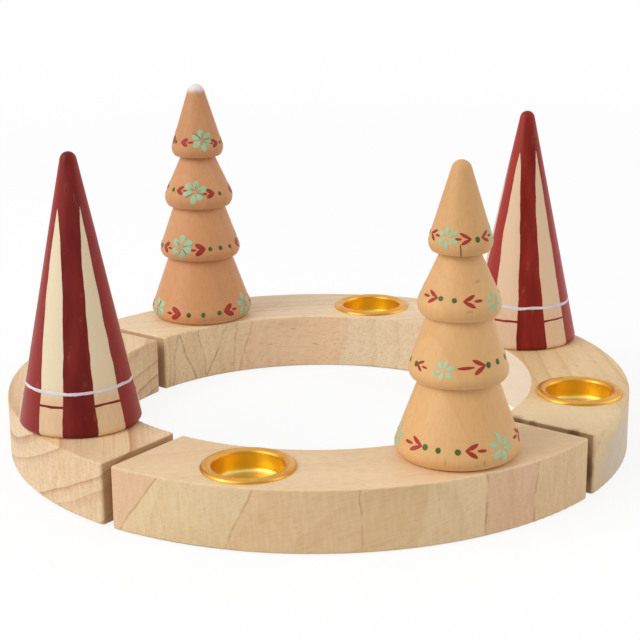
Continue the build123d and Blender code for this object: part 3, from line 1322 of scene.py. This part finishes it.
def pine_wood(side: Side, pith: Pair, slide: float, twist: float, **fields: object) -> WoodFinish:
    """Wood of a ring section, with its fibres along the section's chord.

    Args:
        side: Which section.
        pith: Distance of the log's middle line from the ring's axis, and its height, in millimetres.
        slide: Shift along the fibres in millimetres, which sets the sections' figures apart.
        twist: Climb of the fibres in degrees.
        **fields: Further fields of the finish.

    Returns:
        The wood finish.
    """
    heading = math.radians(side.value + 90.0)
    climb = Matrix.Rotation(math.radians(twist), 3, "Y")
    turn = (climb @ Matrix.Rotation(-heading, 3, "Z")).to_euler("XYZ")
    return WoodFinish(f"{side.label}_pine", tuple(math.degrees(angle) for angle in turn),
                      (slide, -pith[0], pith[1]), wander=9.0, mottle=0.16,
                      chord=(math.cos(heading), math.sin(heading), 0.0), **fields)


def turned_wood(name: str, early: str, late: str, warm: str, pith: Pair, **fields: object) -> WoodFinish:
    """Wood of a turned figure, with upright fibres.

    Args:
        name: Name of the material.
        early: Colour of the pale wood.
        late: Colour of the growth lines.
        warm: Colour of the warmer patches.
        pith: Place of the log's middle line, in millimetres.
        **fields: Further fields of the finish.

    Returns:
        The wood finish.
    """
    # The crown tone is painted shade that darkens the upper part.
    return WoodFinish(name, (0.0, 90.0, 0.0), (0.0, pith[1], -pith[0]), early=early, late=late, warm=warm,
                      ring_width=8.0, wander=6.0, contrast=0.22, fleck=0.05, crown="F1EBE6", **fields)


# The end marks are dark end grain with painted shade in the gap.
END_GRAIN_SHADE, KNOT_DOT, TIER_MARK, FOOT_MARK = "4A2C1C", "6F4E36", "A9784A", "B5774C"
BARE_TREE = "D9B48A"

FRONT_SEAMS = (
    Seam(-110.0, 0.0, "F8ECEC", 0.0), Seam(-66.0, 0.58, "FAFBF5", 0.55), Seam(-37.6, 0.45, "F9F4EB", 0.45),
    Seam(-2.6, 0.0, "F8F2E6", 0.4), Seam(16.0, 0.2, "FFFFFA", 0.0), Seam(35.8, 0.0, "FCEEEE", 0.65),
    Seam(52.8, 0.05, "FEF8F2", 0.55),
)
BACK_SEAMS = (
    Seam(-20.0, -0.2, "FFF3EE", 0.0), Seam(18.0, -0.3, "FFF8F2", 0.5), Seam(22.7, -0.1, "FDF8F0", 0.55),
    Seam(30.0, -0.45, "FFFBF4", 0.6), Seam(35.4, 0.1, "FBF6EC", 0.5), Seam(41.5, 0.35, "FFFCF6", 0.65),
    Seam(46.5, -0.1, "FDF8F0", 0.5), Seam(50.0, 0.1, "FFFCF6", 0.6),
)
# Spots of the right section: end grain with painted shade, knots, and patches of painted light and shade.
RIGHT_SPOTS_AND_LIGHT = (
    # Painted shade and sheen: a greyer tone on the outer face.
    Spot((94.0, -52.0, 6.0), (30.0, 40.0, 15.5), "D2C5B4", 0.65),
    # Painted light over the front tree's cast shadow on the top.
    Spot((71.0, -55.0, 20.0), (27.0, 26.0, 8.0), "FBE1B4", 0.7),
    # Dark end grain with painted shade at the gap to the front section.
    Spot((56.4, -53.9, 18.8), (3.6, 3.6, 2.2), END_GRAIN_SHADE, 0.6),
    Spot((60.6, -58.1, 18.8), (2.0, 2.0, 2.0), END_GRAIN_SHADE, 0.5),
    Spot((71.0, -68.4, 18.8), (3.0, 3.0, 2.0), END_GRAIN_SHADE, 0.65),
    Spot((75.2, -72.6, 8.0), (1.8, 1.8, 5.5), END_GRAIN_SHADE, 0.6),
    Spot((90.8, -5.4, 20.0), (0.7, 0.6, 2.0), KNOT_DOT, 0.8),
    Spot((98.3, -2.0, 20.0), (0.6, 0.6, 2.0), KNOT_DOT, 0.6),
)
SECTION_WOODS = {
    Side.FRONT: pine_wood(Side.FRONT, (190.0, -8.0), 40.0, 14.0, ring_width=8.0, early="EFD1A6", late="CFA57C",
                          warm="E6C59B", contrast=0.2, fleck=0.05, sawn="C39A70", seams=FRONT_SEAMS,
                          marks=CutMarks((0.0, 4.0, 0.0), 0.16)),
    # The right section's end tone is end grain darkened further by painted shade in the gap, and its inner tone is
    # painted light on the inner wall.
    Side.RIGHT: pine_wood(Side.RIGHT, (10.0, 62.0), 310.0, -6.0, ring_width=7.5, early="EBCB98", late="C29A72",
                          warm="E2BE8C", contrast=0.6, fleck=0.1, sawn="7A5236", spots=RIGHT_SPOTS_AND_LIGHT,
                          inner="FCEDD6"),
    Side.BACK: pine_wood(Side.BACK, (330.0, 14.0), 620.0, 3.0, ring_width=6.4, early="F6DDB6", late="CBA27A",
                         warm="EED0A8", contrast=0.5, fleck=0.34, sawn="B88F66", seams=BACK_SEAMS,
                         marks=CutMarks((0.0, -32.0, 0.0), 0.32)),
    Side.LEFT: pine_wood(Side.LEFT, (34.0, -61.0), 930.0, 0.0, ring_width=6.4, early="EFD1A6", late="B4774E",
                         warm="E6C59B", contrast=0.85, fleck=0.08, sawn="B98D63",
                         marks=CutMarks((6.0, 0.0, 0.0), 0.2)),
}
FRONT_BANDS = (
    Band(0.0, 7.1, (-79.0, 45.4, 165.0), 9.0, Arrow(12.0, 4.3, 3.0), Arrow(13.9, 4.3, 3.6),
         ((0.08, 0.4, 0.84), (0.12, 0.5, 0.9), (0.1, 0.45, 0.85)), 1.75, -0.5),
    Band(24.5, 6.35, (-17.9, 160.0), 6.7, Arrow(10.1, 3.1, 2.2), Arrow(12.8, 4.2, 5.3),
         ((0.05, 0.245, 0.525, 0.77, 0.96), (0.05, 0.27, 0.5, 0.73, 0.985)), 1.7, -0.4, 0.8),
    Band(44.04, 6.55, (-95.0, 56.6), 6.6, Arrow(10.3, 3.9, 2.8), Arrow(12.1, 3.7, 3.0),
         ((0.13, 0.676), (0.1, 0.3, 0.5, 0.7, 0.9)), 1.5, -0.6, -0.7),
    Band(63.1, 5.33, (-25.9, 88.2, 205.0), 7.0, Arrow(7.2, 3.2, 1.9), Arrow(7.2, 3.4, 2.0),
         ((0.57,), (0.5,), (0.5,)), 1.55, -0.1, -0.3),
)
BACK_BANDS = (
    Band(0.0, 4.95, (-63.1, 62.0, 179.0), 9.2, Arrow(11.8, 4.3, 2.4), Arrow(12.5, 4.5, 2.6),
         ((0.184, 0.513, 0.89), (0.2, 0.52, 0.85), (0.2, 0.52, 0.85)), 1.75, 0.5, 0.4),
    Band(24.5, 4.75, (-30.1, 101.0, 217.0), 10.0, Arrow(9.3, 3.6, 2.3), Arrow(9.75, 4.2, 2.3),
         ((0.12, 0.41, 0.73), (0.2, 0.5, 0.8), (0.2, 0.5, 0.78)), 1.7, 0.7, 0.2),
    Band(44.04, 6.3, (-7.0, 108.0, 233.0), 9.2, Arrow(7.76, 3.2, 1.9), Arrow(7.6, 3.5, 1.5),
         ((0.26,), (0.3, 0.7), (0.17, 0.79)), 1.55, 0.4, -0.8),
    Band(63.1, 5.58, (11.3, 131.0, 251.0), 8.6, Arrow(8.5, 3.2, 2.4), Arrow(7.0, 3.0, 2.0),
         ((0.5,), (0.5,), (0.16,)), 1.4, 1.3, -0.4),
)
FRONT_TREE_SPOTS = (
    Spot((31.0, -94.0, 67.6), (1.5, 3.0, 0.5), TIER_MARK, 0.5),
    Spot((34.1, -90.3, 75.5), (1.2, 3.0, 0.6), TIER_MARK, 0.5),
    Spot((23.3, -98.4, 23.7), (0.4, 3.0, 1.6), FOOT_MARK, 0.55),
    Spot((34.7, -99.6, 23.1), (0.5, 3.0, 1.4), FOOT_MARK, 0.5),
)
LEFT_STRIPES = (
    Stripe(-154.0, -128.0, -140.0, 0.2), Stripe(-108.0, -83.0, -95.0, 0.2),
    Stripe(-41.5, -18.0, -46.0, 0.19, (-11.0, 4.0)), Stripe(15.0, 44.8, 31.0, 0.185, (-3.5, -0.5)),
    Stripe(83.0, 110.0, 96.0, 0.2), Stripe(146.0, 172.0, 158.0, 0.2),
)
RIGHT_STRIPES = (
    Stripe(-150.0, -122.0, -136.0, 0.17), Stripe(-98.0, -72.0, -84.0, 0.17),
    Stripe(-33.0, -5.0, -26.5, 0.165, (-10.0, 1.5)), Stripe(28.0, 56.3, 42.0, 0.155, (-7.0, 0.0)),
    Stripe(92.0, 118.0, 104.0, 0.17), Stripe(150.0, 178.0, 164.0, 0.17),
)


def paint_trees(kit: FinishKit) -> None:
    """Dresses and paints the two tiered trees.

    Args:
        kit: Shared node groups.
    """
    paints = {}
    for pigment in Pigment:
        deep, light, worn = pigment.value
        paints[pigment] = PaintFinish(f"{pigment.label}_paint", deep, light, BARE_TREE, worn).material(kit)
    # The underside tones of both trees are painted light thrown up by the floor.
    wood = turned_wood("front_tree_wood", "E5B67D", "CA975E", "DDAA70", (70.0, -60.0), crack=(29.2, -89.0, 83.1),
                       spots=FRONT_TREE_SPOTS, below="F6D3A2")
    TieredTree(Side.FRONT, -102.95, FRONT_BANDS, wood, seed=11, leaf=0.33, petal=0.22).build(kit, paints)
    wood = turned_wood("back_tree_wood", "D89F70", "B97D50", "CE9364", (20.0, 150.0), dip=107.5, below="EDBB8E")
    tree = TieredTree(Side.BACK, -93.86, BACK_BANDS, wood, seed=23, leaf=0.5, petal=0.27, has_veins=True)
    tree.build(kit, paints)


def paint_cones(kit: FinishKit) -> None:
    """Dresses and paints the two striped cones.

    Args:
        kit: Shared node groups.
    """
    pale = PaintFinish("pale_line", "D3C6D2", "E8E0E6", "D8B49A", 0.3).material(kit)
    coat = {"under": "C99A78", "worn": 0.1, "roughness": 0.4, "specular": 0.17}
    # The side tones are painted light and sheen on the sideways-facing red.
    red = PaintFinish("left_red_coat", "681511", "802520", painted_side_light="942D28", **coat).material(kit)
    wood = turned_wood("left_cone_wood", "E4C59B", "C99E74", "DEB68D", (-140.0, 10.0))
    cone = StripedCone(Side.LEFT, -89.41, LEFT_STRIPES, wood, pale_line=14.1, thin_line=9.8, seed=5,
                       cream="E8DABA")
    cone.build(kit, red, pale)
    red = PaintFinish("right_red_coat", "78190F", "92281F", painted_side_light="A63730", **coat).material(kit)
    wood = turned_wood("right_cone_wood", "E8C7A3", "CC9F7A", "E0B896", (150.0, 30.0))
    cone = StripedCone(Side.RIGHT, -105.17, RIGHT_STRIPES, wood, pale_line=15.2, thin_line=10.3, seed=9,
                       cream="E6C6A4")
    cone.build(kit, red, pale)


def main() -> None:
    """Builds the whole scene, piece by piece."""
    logging.basicConfig(level=logging.INFO, format="%(name)s: %(message)s")
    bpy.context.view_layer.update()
    kit = FinishKit()
    # The gold's layers are painted reflections inside the cup, on the inner wall and on the floor.
    gold = MetalFinish("satin_gold", "DFA64E", "D49A44", 0.36, ((20.2, "F3C236"), (14.9, "EBD894"))).material()
    steel = MetalFinish("zinc_steel", "C9CBC9", "A9ACAC", 0.35).material()
    for side, wood in SECTION_WOODS.items():
        for part, material in (("base", wood.material(kit)), ("candle_cup", gold), ("tree_screw", steel)):
            dress(f"{side.label}_{part}", material)
    paint_trees(kit)
    paint_cones(kit)
    Studio().build()


if __name__ == "__main__":
    main()
